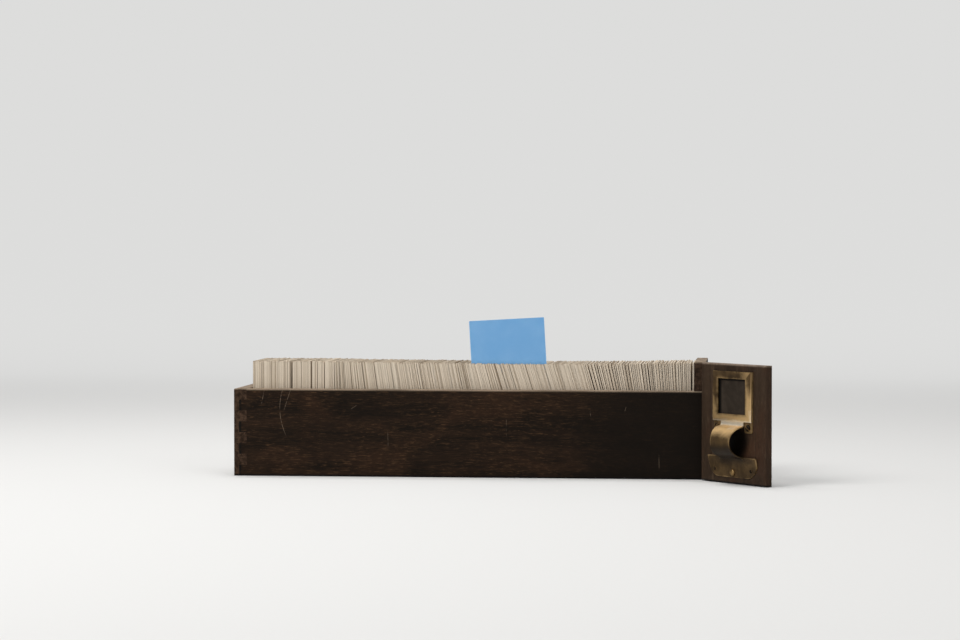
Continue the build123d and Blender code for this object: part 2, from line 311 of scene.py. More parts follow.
@dataclass(frozen=True)
class Scratch:
    """A fine light scratch down the face of a board, in the board's own frame."""

    start: float
    top: float
    foot: float
    slope: float = 0.0
    bow: float = 0.0
    width: float = 0.45
    strength: float = 0.7

    def mask(self, bench: Bench) -> Socket:
        """Where the scratch runs.

        Args:
            bench: The finish that it is in.

        Returns:
            Its strength at each place.
        """
        down = bench.sum("SUBTRACT", self.top * MM, bench.z)
        line = bench.sum("ADD", self.start * MM, bench.product(down, self.slope))
        curve = bench.product(down, down, self.bow / MM)
        off = bench.sum("ABSOLUTE", bench.sum("SUBTRACT", bench.x, bench.sum("ADD", line, curve)))
        broken = bench.step(bench.noise(330, seed=self.start), 0.36, 0.56)
        near = bench.step(off, self.width * MM, self.width * MM / 4, self.strength)
        reach = (self.top - self.foot) * MM
        below = bench.step(down, -0.5 * MM, 0.5 * MM)
        above = bench.step(down, reach, reach * 0.75)
        return bench.product(near, below, above, broken)


@dataclass(frozen=True)
class WoodFinish:
    """Old dark stained hardwood with fine flecks, stains and rubbed edges, a painted contact shadow
    along its foot and a painted shadow behind the pull.
    """

    name: str
    grain: Grain
    dark: Colour = tint(15, 9, 4)
    body: Colour = tint(37, 24, 14)
    light: Colour = tint(84, 61, 40)
    russet: Colour = tint(46, 29, 17)
    end_grain: Colour = tint(72, 54, 41)
    worn: Colour = tint(150, 131, 111)
    seed: float = 1.0
    turn: float = 0.0
    pivot: Point = (0.0, 0.0, 0.0)
    worn_height: float = 86.0
    worn_depth: float = 2.2
    worn_share: float = 0.95
    darkens: tuple[float, float, float] = (0.0, 1.0, 0.0)
    finger_tips: float = 0.0
    foot_shadow: float = 0.85
    ghost: tuple[float, ...] = ()
    pull_shadow: tuple[float, float, float] = (0.0, 0.0, 0.0)
    scratches: tuple[Scratch, ...] = ()

    def material(self) -> bpy.types.Material:
        """Lays out the finish.

        Returns:
            The wood material.
        """
        bench = Bench(self.name, self.turn, self.pivot)
        grain = self.grain
        bands = bench.noise(95, grain.drawn_out(0.06), 4, 0.6, 0.4, self.seed)
        fibres = bench.noise(950, grain.drawn_out(0.07), 3, 0.6, 0.0, self.seed + 1)
        flecks = bench.noise(900, grain.drawn_out(0.16), 3, 0.65, 0.5, self.seed + 2)
        stains = bench.noise(26, grain.drawn_out(0.55), 4, 0.6, 0.6, self.seed + 3)
        clouds = bench.noise(11, grain.drawn_out(0.7), 2, 0.5, 0.3, self.seed + 4)
        colour = bench.mix(bench.step(bands, 0.3, 0.68), self.dark, self.body)
        colour = bench.mix(bench.step(stains, 0.47, 0.7, 0.75), colour, self.russet)
        colour = bench.mix(bench.step(fibres, 0.5, 0.75, 0.3), colour, self.light)
        fleck = bench.product(bench.step(flecks, 0.52, 0.7, 0.55), bench.step(stains, 0.3, 0.54))
        colour = bench.mix(fleck, colour, self.light)
        colour = bench.mix(bench.step(flecks, 0.44, 0.3, 0.8), colour, self.dark)
        colour = bench.mix(bench.step(clouds, 0.46, 0.3, 0.5), colour, self.dark)
        start, end, share = self.darkens
        if share:
            colour = bench.mix(bench.step(bench.x, start * MM, end * MM, share), colour, self.dark)
        colour = self.end_faces(bench, colour)
        colour = self.rubbed_edge(bench, self.marks(bench, colour))
        bench.bump(fibres, 0.5, 0.12)
        bench.bump(bands, 0.25, 0.25)
        # Painted contact shadow: the lowest 2.6 mm of each board goes near black.
        foot = bench.product(bench.step(bench.z, 2.6 * MM, 1.2 * MM), self.foot_shadow)
        colour = bench.mix(foot, colour, tint(9, 7, 6))
        gloss = bench.sum("ADD", bench.product(stains, -0.2), 0.66)
        return bench.finish(Base_Color=colour, Roughness=gloss, Specular_IOR_Level=0.09)

    def marks(self, bench: Bench, colour: Socket) -> Socket:
        """Adds the dark joint gaps, pale ghost lines, a painted shadow behind the pull and
        scratches.

        Args:
            bench: The finish.
            colour: The colour of the wood.

        Returns:
            The colour with its marks.
        """
        if self.finger_tips:
            inside = self.finger_tips * MM
            ragged = bench.noise(300, seed=self.seed + 5)
            tips = bench.step(bench.x, inside + 2.6 * MM, inside + 1.6 * MM)
            gap = bench.product(tips, bench.step(ragged, 0.38, 0.5, 0.9))
            colour = bench.mix(gap, colour, tint(9, 8, 6))
        for rise, shade in zip(self.ghost[::2], self.ghost[1::2]):
            line = bench.sum("ABSOLUTE", bench.sum("SUBTRACT", bench.x, rise * MM))
            patchy = bench.step(bench.noise(120, seed=rise), 0.3, 0.6, abs(shade))
            mark = bench.product(bench.step(line, 1.1 * MM, 0.3 * MM), patchy)
            colour = bench.mix(mark, colour, self.light if shade > 0 else self.dark)
        # Painted shadow: a near black round patch on the panel behind the pull, where the loop
        # shades the wood.
        across, rise, radius = self.pull_shadow
        if radius:
            aside = bench.sum("SUBTRACT", bench.x, across * MM)
            above = bench.sum("SUBTRACT", bench.z, rise * MM)
            far = bench.sum("ADD", bench.product(aside, aside), bench.product(above, above))
            pull_shadow_share = bench.step(far, (radius * MM) ** 2, (0.45 * radius * MM) ** 2, 0.9)
            colour = bench.mix(pull_shadow_share, colour, tint(7, 5, 4))
        for scratch in self.scratches:
            colour = bench.mix(scratch.mask(bench), colour, self.worn)
        return colour

    def rubbed_edge(self, bench: Bench, colour: Socket) -> Socket:
        """Rubs the upper edge pale and scuffs the faces.

        Args:
            bench: The finish.
            colour: The colour with its marks.

        Returns:
            The colour with its wear.
        """
        drawn = self.grain.drawn_out(0.12)
        rub = bench.step(bench.noise(260, drawn, 4, seed=self.seed + 6), 0.3, 0.62)
        rub = bench.sum("ADD", bench.product(rub, 0.45), 0.55)
        height = bench.step(
            bench.z, (self.worn_height - self.worn_depth) * MM, self.worn_height * MM
        )
        colour = bench.mix(bench.product(height, rub, self.worn_share), colour, self.worn)
        scuffs = bench.noise(900, EVEN, 3, 0.6, 0.8, self.seed + 7)
        return bench.mix(bench.step(scuffs, 0.69, 0.76, 0.3), colour, self.light)

    def end_faces(self, bench: Bench, colour: Socket) -> Socket:
        """Shows the cut ends of the fibres on faces square to the grain.

        Args:
            bench: The finish.
            colour: The colour of the other faces.

        Returns:
            The colour with its end grain.
        """
        pores = bench.noise(1500, EVEN, 3, 0.6, 0.0, self.seed + 8)
        rings = bench.noise(240, (1.0, 0.35, 1.0), 3, 0.6, 0.5, self.seed + 9)
        cut = bench.mix(bench.step(rings, 0.35, 0.65), self.body, self.end_grain)
        cut = bench.mix(bench.step(pores, 0.5, 0.35, 0.6), cut, self.dark)
        return bench.mix(bench.step(bench.facing(self.grain.value), 0.7, 0.9), colour, cut)


@dataclass(frozen=True)
class BrassFinish:
    """Brass gone brown with age, rubbed bright where it is handled, with painted highlights and
    painted shade.
    """

    name: str = "aged_brass"
    brown: Colour = tint(104, 83, 55)
    deep: Colour = tint(74, 58, 39)
    # The near black of the painted shade under the loop.
    shade_black: Colour = tint(33, 25, 17)
    gold: Colour = tint(210, 176, 124)
    # The near white of the painted highlights at the fold and on the upper curve of the loop.
    bright: Colour = tint(255, 240, 214)
    turn: float = 0.0
    pivot: Point = (0.0, 0.0, 0.0)

    def material(self) -> bpy.types.Material:
        """Lays out the finish, which reads its wear, painted highlights and painted shade from its
        mesh.

        Returns:
            The brass material.
        """
        bench = Bench(self.name, self.turn, self.pivot)
        clouds = bench.noise(70, EVEN, 4, 0.6, 0.5, 3.0)
        specks = bench.noise(900, EVEN, 3, 0.6, 0.0, 5.0)
        brush = bench.noise(1600, (0.06, 1.0, 1.0), 2, 0.5, 0.0, 7.0)
        wear = bench.attribute("wear")
        tarnish = bench.mix(bench.step(clouds, 0.36, 0.66), self.deep, self.brown)
        tarnish = bench.mix(bench.step(specks, 0.62, 0.74, 0.7), tarnish, self.deep)
        ragged = bench.sum("ADD", wear, bench.product(bench.sum("SUBTRACT", clouds, 0.5), 0.5))
        colour = bench.mix(bench.step(ragged, 0.22, 0.62), tarnish, self.gold)
        # Painted highlight: where the wear attribute runs high, at the fold and the upper curve of
        # the loop, the colour goes near white.
        colour = bench.mix(bench.step(ragged, 0.66, 0.98), colour, self.bright)
        # Painted shade: the loop's lower half and the plate beneath it go near black.
        colour = bench.mix(bench.step(bench.attribute("painted_shade"), 0.1, 1.0, 0.85), colour, self.shade_black)
        bench.bump(brush, 0.12, 0.05)
        bench.bump(specks, 0.25, 0.06)
        dull = bench.sum("SUBTRACT", 0.5, bench.step(ragged, 0.3, 0.95, 0.2))
        dull = bench.sum("ADD", dull, bench.product(specks, 0.1))
        return bench.finish(Base_Color=colour, Metallic=0.92, Roughness=dull)


@dataclass(frozen=True)
class SteelFinish:
    """Dull dark steel with a little brown rust."""

    name: str = "dark_steel"
    body: Colour = tint(74, 70, 66)
    rust: Colour = tint(70, 44, 28)

    def material(self) -> bpy.types.Material:
        """Lays out the finish.

        Returns:
            The steel material.
        """
        bench = Bench(self.name)
        clouds = bench.noise(160, EVEN, 4, 0.6, 0.3, 2.0)
        specks = bench.noise(1400, EVEN, 3, 0.6, 0.0, 4.0)
        colour = bench.mix(bench.step(clouds, 0.5, 0.7, 0.8), self.body, self.rust)
        colour = bench.mix(bench.step(specks, 0.58, 0.72, 0.6), colour, tint(32, 28, 25))
        bench.bump(specks, 0.3, 0.08)
        rough = bench.sum("ADD", bench.product(clouds, 0.3), 0.34)
        return bench.finish(Base_Color=colour, Metallic=0.85, Roughness=rough)


@dataclass(frozen=True)
class CardFinish:
    """Old uncoated card, each card a little different."""

    name: str = "cream_card_stock"
    cream: Colour = tint(222, 208, 188)
    beige: Colour = tint(186, 170, 149)
    brown: Colour = tint(140, 122, 101)

    def material(self) -> bpy.types.Material:
        """Lays out the finish, which reads each card's own tone from its mesh.

        Returns:
            The card material.
        """
        bench = Bench(self.name)
        tone = bench.attribute("tone")
        fibre = bench.noise(2600, EVEN, 3, 0.6, 0.0, 1.0)
        darkening = bench.noise(60, (1.0, 1.0, 0.25), 3, 0.6, 0.4, 2.0)
        colour = bench.mix(bench.step(tone, 0.75, 0.25), self.cream, self.beige)
        colour = bench.mix(bench.step(tone, 0.22, 0.02), colour, self.brown)
        colour = bench.mix(bench.step(darkening, 0.5, 0.75, 0.4), colour, self.beige)
        colour = bench.mix(bench.step(fibre, 0.6, 0.4, 0.16), colour, self.brown)
        bench.bump(fibre, 0.4, 0.05)
        return bench.finish(Base_Color=colour, Roughness=0.85, Specular_IOR_Level=0.2)


@dataclass(frozen=True)
class BlueCardFinish:
    """Light blue card with pale rubbed edges."""

    name: str = "blue_card_stock"
    blue: Colour = tint(112, 164, 210)
    pale: Colour = tint(150, 190, 224)

    def material(self) -> bpy.types.Material:
        """Lays out the finish.

        Returns:
            The blue card material.
        """
        bench = Bench(self.name)
        clouds = bench.noise(45, EVEN, 3, 0.5, 0.3, 2.0)
        fibre = bench.noise(2400, EVEN, 3, 0.6, 0.0, 4.0)
        colour = bench.mix(bench.step(clouds, 0.35, 0.7, 0.22), self.blue, self.pale)
        colour = bench.mix(bench.step(fibre, 0.6, 0.42, 0.1), colour, tint(92, 142, 190))
        colour = bench.mix(bench.step(bench.attribute("wear"), 0.3, 1.0, 0.8), colour, self.pale)
        bench.bump(fibre, 0.35, 0.04)
        return bench.finish(Base_Color=colour, Roughness=0.8, Specular_IOR_Level=0.25)


@dataclass(frozen=True)
class LabelFinish:
    """A blank paper label gone dull and brown, with a painted shadow towards its covered edges,
    where the frame shades the recess.
    """

    name: str = "aged_label_paper"
    paper: Colour = tint(44, 37, 30)
    pale: Colour = tint(54, 46, 38)
    brown: Colour = tint(40, 30, 23)
    window_side: float = 29.9
    window_top: float = 100.6
    turn: float = 0.0
    pivot: Point = (0.0, 0.0, 0.0)

    def material(self) -> bpy.types.Material:
        """Lays out the finish.

        Returns:
            The label material.
        """
        bench = Bench(self.name, self.turn, self.pivot)
        clouds = bench.noise(70, EVEN, 4, 0.6, 0.6, 2.0)
        spots = bench.noise(320, EVEN, 3, 0.6, 0.0, 4.0)
        fibre = bench.noise(2400, EVEN, 3, 0.6, 0.0, 6.0)
        colour = bench.mix(bench.step(clouds, 0.4, 0.65), self.paper, self.pale)
        colour = bench.mix(bench.step(spots, 0.6, 0.75, 0.6), colour, self.brown)
        colour = bench.mix(bench.step(clouds, 0.44, 0.3, 0.5), colour, self.brown)
        # Painted shadow: the label goes near black along the window's left side and top, where the
        # frame shades the recess.
        beside = bench.step(bench.x, (self.window_side + 3.4) * MM, (self.window_side + 2.2) * MM)
        above = bench.step(bench.z, (self.window_top - 2.4) * MM, (self.window_top - 1.4) * MM)
        painted_shade = bench.sum("MAXIMUM", beside, above)
        colour = bench.mix(bench.product(painted_shade, 0.93), colour, tint(12, 9, 7))
        bench.bump(fibre, 0.4, 0.05)
        return bench.finish(Base_Color=colour, Roughness=0.75, Specular_IOR_Level=0.1)


# ---------------------------------------------------------------- the front panel's frame


@dataclass(frozen=True)
class PanelFrame:
    """The front panel's outer face: X from its hinge edge, Y up and Z out of the wood."""

    open_angle: float = 50.0
    half_length: float = 232.0
    half_width: float = 48.5
    edge_offset: float = 2.9
    leaf_gap: float = 0.6
    thickness: float = 8.0

    @property
    def along(self) -> Vector:
        """The way from the hinge edge to the free edge."""
        return Vector((cos(radians(self.open_angle)), -sin(radians(self.open_angle)), 0.0))

    @property
    def outward(self) -> Vector:
        """The way out of the outer face."""
        return Vector((-sin(radians(self.open_angle)), -cos(radians(self.open_angle)), 0.0))

    @property
    def origin(self) -> Vector:
        """The outer face's lower hinge corner, in millimetres."""
        axis = Vector(
            (self.half_length + self.leaf_gap / 2, -self.half_width - self.edge_offset, 0.0)
        )
        out = self.leaf_gap / 2 + self.thickness
        return axis + self.along * self.edge_offset + self.outward * out

    @property
    def matrix(self) -> Matrix:
        """From the outer face's frame to the row frame, both in millimetres."""
        axes = (self.along, Vector((0.0, 0.0, 1.0)), self.outward)
        return Matrix.Translation(self.origin) @ from_axes(axes)


# ---------------------------------------------------------------- shaping steps


def blank(width: float, height: float) -> bmesh.types.BMesh:
    """A flat rectangle on the XY plane, with its middle at the origin."""
    mesh = bmesh.new()
    bmesh.ops.create_grid(mesh, x_segments=1, y_segments=1, size=0.5)
    bmesh.ops.scale(mesh, vec=(width, height, 1.0), verts=mesh.verts[:])
    return mesh


def round_off(
    mesh: bmesh.types.BMesh, corners: list[bmesh.types.BMVert], radius: float, segments: int
) -> None:
    """Rounds corners of a flat face.

    Args:
        mesh: The flat face.
        corners: The corners to round.
        radius: How far along the edges the rounding starts.
        segments: How many edges each rounded corner gets.
    """
    bmesh.ops.bevel(
        mesh,
        geom=corners,
        offset=radius,
        affect="VERTICES",
        segments=segments,
        profile=0.5,
        material=-1,
    )


def inset(mesh: bmesh.types.BMesh, thickness: float) -> None:
    """Draws an even border inside a lone flat face."""
    bmesh.ops.inset_region(
        mesh,
        faces=mesh.faces[:],
        thickness=thickness,
        use_boundary=True,
        use_even_offset=True,
    )


def raise_face(mesh: bmesh.types.BMesh, height: float) -> None:
    """Makes a slab of a flat face."""
    raised = bmesh.ops.extrude_face_region(mesh, geom=mesh.faces[:])["geom"]
    top = [v for v in raised if isinstance(v, bmesh.types.BMVert)]
    bmesh.ops.translate(mesh, vec=(0, 0, height), verts=top)
    bmesh.ops.recalc_face_normals(mesh, faces=mesh.faces[:])


def pull_out(
    mesh: bmesh.types.BMesh, edges: list[bmesh.types.BMEdge], way: Point
) -> list[bmesh.types.BMVert]:
    """Grows faces from edges.

    Args:
        mesh: The shape.
        edges: The edges to grow from.
        way: How far the new edges move.

    Returns:
        The new points.
    """
    grown = bmesh.ops.extrude_edge_only(mesh, edges=edges)["geom"]
    verts = [v for v in grown if isinstance(v, bmesh.types.BMVert)]
    bmesh.ops.translate(mesh, vec=way, verts=verts)
    return verts


def thicken(mesh: bmesh.types.BMesh, thickness: float) -> None:
    """Turns an open sheet to face up and gives it its thickness on its back."""
    bmesh.ops.recalc_face_normals(mesh, faces=mesh.faces[:])
    if sum(face.normal.z * face.calc_area() for face in mesh.faces) < 0:
        bmesh.ops.reverse_faces(mesh, faces=mesh.faces[:])
    bmesh.ops.solidify(mesh, geom=mesh.faces[:], thickness=thickness)


def slice_through(mesh: bmesh.types.BMesh, planes: list[tuple[Point, Point]]) -> None:
    """Cuts edges into a shape along planes, each given by a point and the way it faces."""
    for spot, way in planes:
        bmesh.ops.bisect_plane(
            mesh,
            geom=[*mesh.verts, *mesh.edges, *mesh.faces],
            plane_co=spot,
            plane_no=way,
            dist=NEAR / 10,
        )


def fill_rim(mesh: bmesh.types.BMesh, axis: int, level: float) -> None:
    """Closes the hole whose open edges all lie at one level of an axis.

    Args:
        mesh: The shape.
        axis: The axis, 0 to 2.
        level: The level, in millimetres.
    """
    rim = [
        e
        for e in mesh.edges
        if len(e.link_faces) < 2 and all(abs(v.co[axis] - level) < NEAR for v in e.verts)
    ]
    bmesh.ops.edgeloop_fill(mesh, edges=rim)


def from_axes(axes: tuple[Vector, Vector, Vector]) -> Matrix:
    """The turn that lays X, Y and Z along three ways."""
    return Matrix([[axis[row] for axis in axes] for row in range(3)]).to_4x4()


# ---------------------------------------------------------------- pieces


class Piece:
    """A mesh being made in millimetres, which becomes one object of the scene."""

    def __init__(self, name: str) -> None:
        """Starts an empty piece with this name."""
        self.name = name
        self.mesh = bmesh.new()

    def take(self, other: bmesh.types.BMesh, matrix: Matrix = Matrix.Identity(4)) -> None:
        """Adds a finished shape to the piece.

        Args:
            other: The shape, which is used up.
            matrix: Where it goes.
        """
        bmesh.ops.transform(other, matrix=matrix, verts=other.verts[:])
        holder = bpy.data.meshes.new("part")
        other.to_mesh(holder)
        other.free()
        self.mesh.from_mesh(holder)
        bpy.data.meshes.remove(holder)

    def rub_edges(self, limit: float, reach: float) -> None:
        """Marks the wear of the edges that are sharper than a limit.

        Args:
            limit: The angle in degrees.
            reach: The wear of an edge at the limit's double and over.
        """
        wear = self.mesh.verts.layers.float.new("wear")
        for edge in self.mesh.edges:
            if len(edge.link_faces) == 2:
                bend = edge.calc_face_angle(0.0) / radians(limit) - 1
                for vert in edge.verts:
                    vert[wear] = max(vert[wear], min(1.0, max(0.0, bend)) * reach)

    def place(
        self,
        body: str,
        material: bpy.types.Material,
        slot: str,
        matrix: Matrix = Matrix.Identity(4),
        stands_for: tuple[str, ...] = (),
        soften: float = 0.0,
        smooth: float = 35.0,
    ) -> None:
        """Makes the object in its place in the row frame.

        Args:
            body: The body that it rides on.
            material: Its finish.
            slot: The name of a material slot; not used.
            matrix: From the piece's frame to the row frame, in millimetres.
            stands_for: The solids that it replaces.
            soften: The width of the small bevel on its sharp edges.
            smooth: Edges up to this angle in degrees are shaded smooth.
        """
        bmesh.ops.transform(
            self.mesh, matrix=Matrix.Scale(MM, 4) @ matrix, verts=self.mesh.verts[:]
        )
        for edge in self.mesh.edges:
            edge.smooth = edge.calc_face_angle(pi) < radians(smooth)
        for face in self.mesh.faces:
            face.smooth = True
        data = bpy.data.meshes.new(self.name)
        self.mesh.to_mesh(data)
        self.mesh.free()
        data.materials.append(material)
        thing = bpy.data.objects.new(self.name, data)
        bpy.context.scene.collection.objects.link(thing)
        if soften:
            bevel = thing.modifiers.new("softened edges", "BEVEL")
            bevel.width = soften * MM
            bevel.segments = 2
            bevel.limit_method = "ANGLE"
            bevel.angle_limit = radians(smooth)
        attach(thing, body)
        if stands_for:
            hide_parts(*stands_for)
        log.info("%s: %d faces on %s", self.name, len(data.polygons), body)


def keep_solid(node: str, material: bpy.types.Material) -> None:
    """Gives a solid of the model its finish and leaves its shape.

    Args:
        node: The solid's name.
        material: Its finish.
    """
    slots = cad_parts[node].data.materials
    slots.clear()
    slots.append(material)
    log.info("%s: finished as %s", node, material.name)


# ---------------------------------------------------------------- screws and nails


@dataclass(frozen=True)
class Fastener:
    """A screw or nail with a turned head, and a slot where it has one."""

    head: float
    height: float
    shank: float
    length: float
    slot: float = 0.0
    crown: float = 0.55
    sides: int = 32
    countersunk: bool = False
    taper: float = 3.0
    tip_share: float = 0.3
    rim_drop: float = 0.1
    rim_share: float = 0.96
    dome_steps: int = 6
    dome_fullness: float = 0.8
    sunk_slot_depth: float = 0.7
    slot_share: float = 0.62

    def profile(self) -> list[tuple[float, float]]:
        """Radius and height along the fastener, from its point to its crown."""
        stem = [
            (0.0, -self.length),
            (self.shank * self.tip_share, -self.length),
            (self.shank, self.taper - self.length),
        ]
        if self.countersunk:
            return stem + [
                (self.shank, self.shank - self.head),
                (self.head, -self.rim_drop),
                (self.head * self.rim_share, 0.0),
                (0.0, 0.0),
            ]
        dome = []
        for k in range(self.dome_steps):
            angle = pi / 2 * k / self.dome_steps
            rise = 1 - self.crown + self.crown * sin(angle)
            dome.append((self.head * cos(angle) ** self.dome_fullness, self.height * rise))
        return stem + [(self.shank, 0.0), (self.head, 0.0), *dome, (0.0, self.height)]

    def shape(self) -> bmesh.types.BMesh:
        """Turns the profile and cuts the slot.

        Returns:
            The fastener, with its head's seat on the XY plane.
        """
        mesh = bmesh.new()
        verts = [mesh.verts.new((radius, 0.0, rise)) for radius, rise in self.profile()]
        edges = [mesh.edges.new(pair) for pair in zip(verts, verts[1:])]
        bmesh.ops.spin(
            mesh,
            geom=[*verts, *edges],
            cent=(0, 0, 0),
            axis=(0, 0, 1),
            angle=2 * pi,
            steps=self.sides,
            use_merge=True,
        )
        bmesh.ops.remove_doubles(mesh, verts=mesh.verts[:], dist=NEAR)
        bmesh.ops.recalc_face_normals(mesh, faces=mesh.faces[:])
        if self.slot:
            self.cut_slot(mesh)
        return mesh

    def cut_slot(self, mesh: bmesh.types.BMesh) -> None:
        """Cuts the driver slot along local X.

        Args:
            mesh: The turned fastener.
        """
        half = self.slot / 2
        floor = self.height - self.slot_share * self.height
        if self.countersunk:
            floor = -self.sunk_slot_depth
        walls = [((0, side * half, 0), (0, 1, 0)) for side in (1, -1)]
        slice_through(mesh, [*walls, ((0, 0, floor), (0, 0, 1))])
        gone = [
            face
            for face in mesh.faces
            if abs(face.calc_center_median().y) < half and face.calc_center_median().z > floor
        ]
        bmesh.ops.delete(mesh, geom=gone, context="FACES")
        low = [v for v in mesh.verts if v.is_boundary and abs(v.co.z - floor) < NEAR]
        for side in (-1, 1):
            ends = [v for v in low if abs(v.co.y - side * half) < NEAR]
            ends.sort(key=lambda v: v.co.x)
            mesh.edges.new((ends[0], ends[-1]))
            fill_rim(mesh, 1, side * half)
        fill_rim(mesh, 2, floor)
        bmesh.ops.recalc_face_normals(mesh, faces=mesh.faces[:])


# ---------------------------------------------------------------- label holder and pull


@dataclass(frozen=True)
class HandWearAndPaintedLight:
    """How far fingers rub the brass bright, how far painted highlights reach at the fold and the
    upper curve of the loop, and where painted shade darkens the loop's lower half and the plate
    beneath it.
    """

    # Rubbed wear and a painted highlight along the fold.
    above_fold: float = 2.6
    below_fold: float = 11.0
    fold: float = 1.25
    raised_from: float = 1.2
    band_rise: float = 2.2
    band_spread: float = 2.6
    band: float = 0.62
    band_from: float = 2.5
    # A painted highlight on the upper curve of the loop.
    brow_rise: float = 0.62
    brow_spread: float = 0.75
    brow_highlight: float = 0.75
    # Reaches of the painted shade on the loop's lower half and on the plate.
    loop_shade_reach: float = 9.0
    plate_shade_reach: float = 14.0
    plate_stand: float = 2.0
    shade_sides: tuple[float, float] = (2.0, 1.2)


@dataclass
class LabelHolderPull:
    """The label holder and finger pull, stamped and folded from one sheet of brass."""

    panel: PanelFrame
    sheet: float = 1.1
    centre: float = 50.5
    width: float = 57.4
    height: float = 47.6
    foot: float = 60.0
    stand: float = 2.2
    side_rail: float = 8.1
    end_rail: float = 7.0
    fold_radius: float = 0.9
    skirt_gap: float = 0.05
    tab_width: float = 11.5
    tab_height: float = 10.3
    tab_corner: float = 2.0
    lift: float = 0.02
    loop_widths: tuple[float, float, float] = (33.6, 27.4, 34.0)
    loop_flare: float = 1.35
    reach: float = 18.0
    tongue: float = 2.5
    tongue_bend: float = 2.5
    loop_radius: float = 14.8
    loop_start: float = 5.0
    loop_end: float = 165.0
    strip_columns: int = 12
    flow: float = 7.7
    tail: Point = (0.0, -4.0, -0.9)
    plate_width: float = 71.5
    plate_height: float = 19.5
    plate_corner: float = 14.5
    plate_flat: float = 10.5
    plate_stand: float = 2.2
    plate_belly: float = 0.5
    plate_belly_half: float = 0.42
    plate_screw_rise: float = 4.6
    plate_nail_rise: float = 7.0
    plate_nail_inset: float = 9.0
    head_lift: float = 0.03
    screw: Fastener = Fastener(3.2, 2.2, 1.4, 6.5, slot=0.9)
    screw_turns: tuple[float, float, float] = (35.0, -42.0, 80.0)
    nail: Fastener = Fastener(1.6, 0.8, 0.7, 6.5, sides=20)
    foot_screw_highlight: float = 0.55
    wear: HandWearAndPaintedLight = HandWearAndPaintedLight()

    @property
    def loop_middle(self) -> float:
        """The height of the middle of the finger loop."""
        return self.foot + self.sheet - self.reach

    @property
    def plate_top(self) -> float:
        """The height of the lower plate's upper edge."""
        return self.loop_middle - self.reach + self.sheet

    @property
    def tab_spots(self) -> list[tuple[float, float]]:
        """The places of the two screws in the tabs."""
        off = (self.width - self.tab_width) / 2
        rise = self.foot - self.tab_height / 2
        return [(self.centre - off, rise), (self.centre + off, rise)]

    def holder(self) -> bmesh.types.BMesh:
        """The raised window frame, folded back to the wood at its sides and foot."""
        mesh = blank(self.width, self.height)
        inset(mesh, self.side_rail)
        window = [face for face in mesh.faces if face.calc_center_median().length < 0.01]
        span = (self.height - 2 * self.end_rail) / (self.height - 2 * self.side_rail)
        bmesh.ops.scale(mesh, vec=(1.0, span, 1.0), verts=list(window[0].verts))
        bmesh.ops.delete(mesh, geom=window, context="FACES_ONLY")
        side, top = self.width / 2 - 0.01, self.height / 2 - 0.01
        skirt = [
            edge
            for edge in mesh.edges
            if all(abs(v.co.x) > side for v in edge.verts)
            and not all(v.co.y > top for v in edge.verts)
        ]
        pull_out(mesh, skirt, (0, 0, -self.stand - self.sheet + self.skirt_gap))
        folds = [
            edge
            for edge in mesh.edges
            if len(edge.link_faces) == 2 and edge.calc_face_angle(0.0) > radians(40)
        ]
        bmesh.ops.bevel(
            mesh,
            geom=folds,
            offset=self.fold_radius,
            affect="EDGES",
            segments=4,
            profile=0.5,
            material=-1,
            offset_type="OFFSET",
        )
        thicken(mesh, self.sheet)
        middle = Vector((self.centre, self.foot + self.height / 2, self.stand + self.sheet))
        bmesh.ops.translate(mesh, vec=middle, verts=mesh.verts[:])
        return mesh

    def tab(self, spot: tuple[float, float]) -> bmesh.types.BMesh:
        """One screw tab, flat on the wood with rounded lower corners.

        Args:
            spot: The place of its middle.

        Returns:
            The tab.
        """
        mesh = blank(self.tab_width, self.tab_height)
        round_off(mesh, [v for v in mesh.verts if v.co.y < 0], self.tab_corner, 4)
        raise_face(mesh, self.sheet)
        bmesh.ops.translate(mesh, vec=(*spot, self.lift), verts=mesh.verts[:])
        return mesh

    def loop(self) -> bmesh.types.BMesh:
        """The waisted finger loop, which hangs from a short tongue and flows into the plate."""
        mesh = bmesh.new()

        def sweep(strip: list, hub: Vector, angle: float, steps: int) -> list:
            """Bends the strip on about a hub, and hands over its new end."""
            bent = bmesh.ops.spin(
                mesh, geom=strip, cent=hub, axis=(1, 0, 0), angle=angle, steps=steps
            )
            return bent["geom_last"]

        first, turned = radians(self.loop_start), radians(self.loop_end)
        fold = self.foot + self.sheet / 2
        columns = range(self.strip_columns + 1)
        row = [mesh.verts.new((k / self.strip_columns - 0.5, fold, self.stand)) for k in columns]
        edges = [mesh.edges.new(pair) for pair in zip(row, row[1:])]
        low = pull_out(mesh, edges, (0, -self.tongue, 0))
        rim = [e for e in mesh.edges if all(v in low for v in e.verts)]
        hub = Vector((0, fold - self.tongue, self.stand + self.tongue_bend))
        end = sweep([*low, *rim], hub, first - pi / 2, 8)
        hub -= (self.tongue_bend + self.loop_radius) * Vector((0, cos(first), sin(first)))
        middle = hub.y
        end = sweep(end, hub, turned - first, 33)
        hub += (self.loop_radius + self.flow) * Vector((0, cos(turned), sin(turned)))
        sweep(end, hub, pi / 2 - turned, 12)
        ends = [v for v in mesh.verts if v.co.y < hub.y + 0.01 and v.is_boundary]
        pull_out(mesh, [e for e in mesh.edges if all(v in ends for v in e.verts)], self.tail)
        top, waist, foot = self.loop_widths
        for vert in mesh.verts:
            rise = (vert.co.y - middle) / self.loop_radius
            side, most = (top, 1.0) if rise > 0 else (foot, self.loop_flare)
            width = waist + (side - waist) * min(most, abs(rise)) ** 2
            vert.co.x = self.centre + vert.co.x * width
        thicken(mesh, self.sheet)
        return mesh

